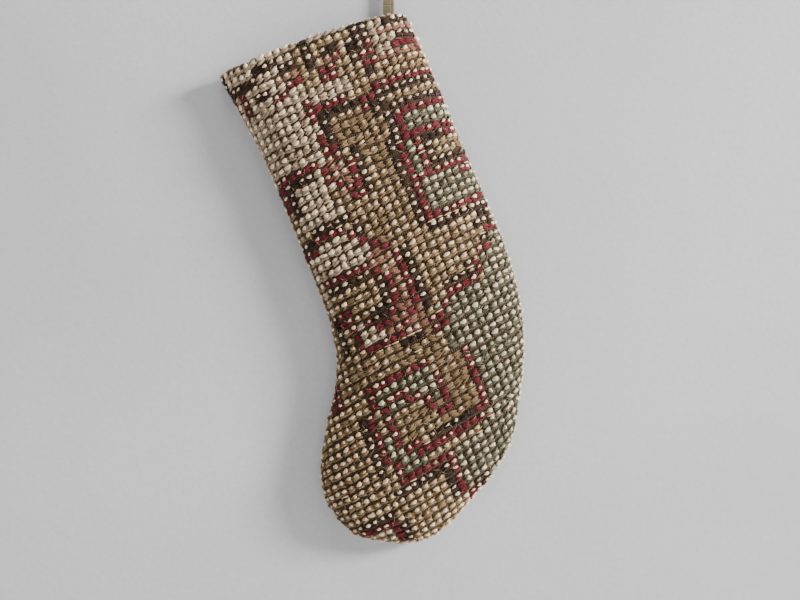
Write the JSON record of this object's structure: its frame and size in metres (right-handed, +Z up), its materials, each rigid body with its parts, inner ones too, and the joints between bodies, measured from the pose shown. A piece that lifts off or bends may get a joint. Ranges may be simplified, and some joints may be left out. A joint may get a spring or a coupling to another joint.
{
  "type": "hanging stocking",
  "caption": "Mantel stocking with a front cut from an old hand-knotted rug, plain cloth back, cloth lining, and a tape loop sewn inside the mouth.",
  "frame": {"origin": "seat of the hanging loop: the inside of the top of its bow, where it rests on a hook or peg, midway across the tape's width", "axes": "+Z up; +X to the right of someone facing the stocking; +Y into the wall it hangs against, so the rug front faces -Y"},
  "size_m": [0.2372, 0.0284, 0.4645],
  "materials": {
    "rug_ground": "woven cotton ground of an old rug, matt, dark between the knots",
    "rug_pile": "worn hand-tied wool knots in camel, cream, grey-green, crimson and dark brown",
    "back_cloth": "plain weave linen-cotton cloth, matt",
    "lining_cloth": "thin plain weave cotton, matt",
    "sewing_thread": "twisted cotton thread",
    "lining_thread": "twisted cotton thread",
    "tape": "olive-khaki twill tape, matt"
  },
  "bodies": {
    "loop": {"hanging_loop": "tape"},
    "neck": {"loop_neck": "tape"},
    "stocking": {"rug_ground": "rug_ground", "rug_pile": "rug_pile", "back_panel": "back_cloth", "lining_front": "lining_cloth", "lining_back": "lining_cloth", "side_seam_thread": "sewing_thread", "mouth_hem_thread_front": "sewing_thread", "mouth_hem_thread_back": "sewing_thread", "lining_seam_thread": "lining_thread", "loop_tail": "tape", "loop_tack_thread": "sewing_thread"}
  },
  "joints": [
    {"name": "front_swing", "type": "hinge", "parent": "loop", "child": "neck", "pos_m": [0, 0.00155, -0.042], "axis": [-1, 0, 0], "range_deg": [0, 65]},
    {"name": "side_swing", "type": "hinge", "parent": "neck", "child": "stocking", "pos_m": [0, 0.00155, -0.054], "axis": [0, -1, 0], "range_deg": [-40, 40]}
  ]
}
